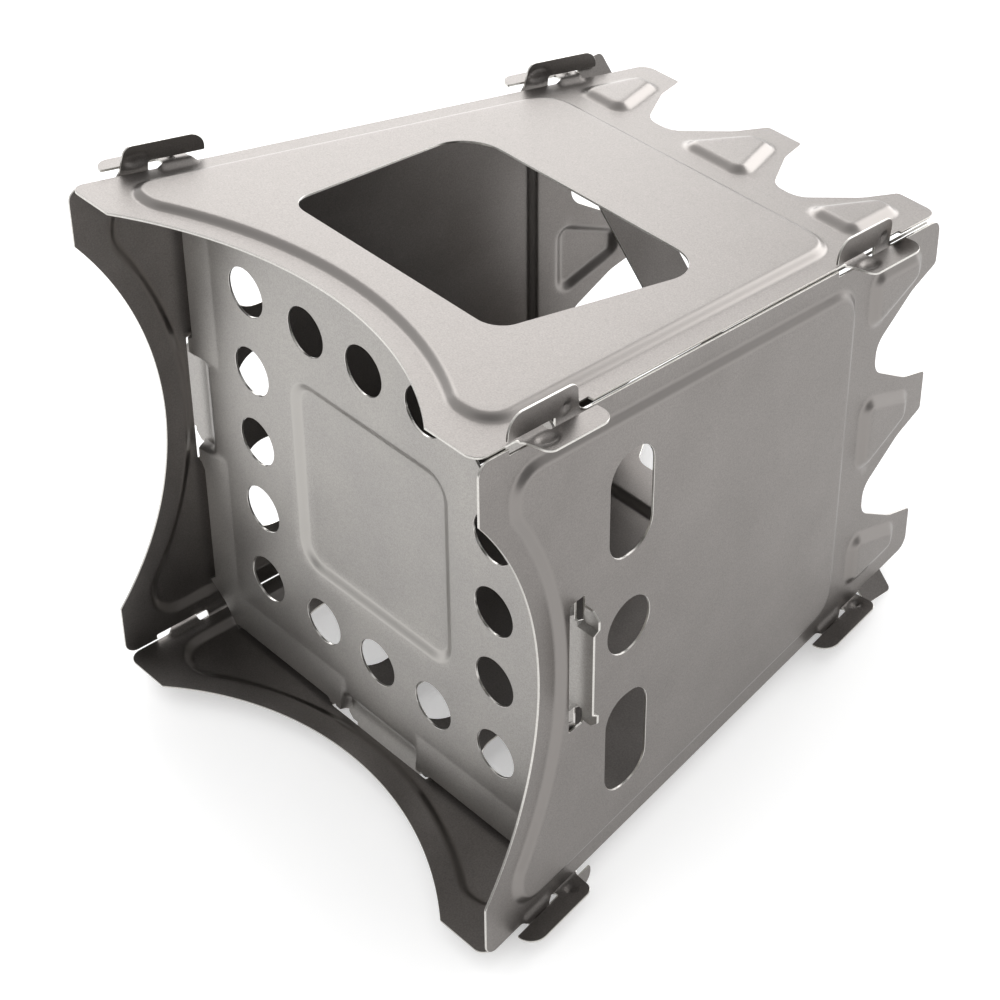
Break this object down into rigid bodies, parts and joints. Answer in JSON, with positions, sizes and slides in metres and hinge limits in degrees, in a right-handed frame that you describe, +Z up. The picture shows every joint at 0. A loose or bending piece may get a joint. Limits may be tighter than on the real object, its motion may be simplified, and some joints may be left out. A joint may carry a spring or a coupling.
{
  "type": "folding camping wood stove",
  "caption": "Pocket wood stove of pressed sheet walls that hook together at the corners, with a fuel window, pot teeth, a loose fire grate and two crossed pot bars.",
  "frame": {"origin": "middle of the square the feet stand on, on the ground", "axes": "+Z up, towards the pot teeth; the wall with the fuel window looks along -Y"},
  "size_m": [0.1232, 0.1232, 0.1335],
  "materials": {
    "sheet": "bead-blasted titanium, satin",
    "fire_grate": "bead-blasted titanium, satin"
  },
  "bodies": {
    "back": {"wall_back": "sheet"},
    "right": {"wall_right": "sheet"},
    "left": {"wall_left": "sheet"},
    "front": {"wall_front": "sheet"},
    "grate": {"grate": "fire_grate"},
    "pot_bars": {"pot_bar_over": "sheet", "pot_bar_under": "sheet"}
  },
  "joints": [
    {"name": "fold_left", "type": "hinge", "parent": "back", "child": "left", "pos_m": [-0.0575, 0.0575, 0], "axis": [0.1227, -0.1227, 0.9848], "range_deg": [0, 82]},
    {"name": "fold_right", "type": "hinge", "parent": "back", "child": "right", "pos_m": [0.0575, 0.0575, 0], "axis": [-0.1227, -0.1227, 0.9848], "range_deg": [0, 81.2]},
    {"name": "fold_front", "type": "hinge", "parent": "right", "child": "front", "pos_m": [0.0575, -0.0575, 0], "axis": [-0.1227, 0.1227, 0.9848], "range_deg": [-82, 0]},
    {"name": "grate_drop", "type": "slide", "parent": "back", "child": "grate", "axis": [0, 0, -1], "range_m": [0, 0.32]},
    {"name": "bars_lift", "type": "slide", "parent": "back", "child": "pot_bars", "axis": [0, 0, 1], "range_m": [0, 0.36]}
  ],
  "couplings": [
    {"joint": "fold_right", "follows": "fold_left", "ratio": 0.989},
    {"joint": "fold_front", "follows": "fold_left", "ratio": -1},
    {"joint": "grate_drop", "follows": "fold_left", "m_per_rad": 0.2235},
    {"joint": "bars_lift", "follows": "fold_left", "m_per_rad": 0.2515}
  ]
}
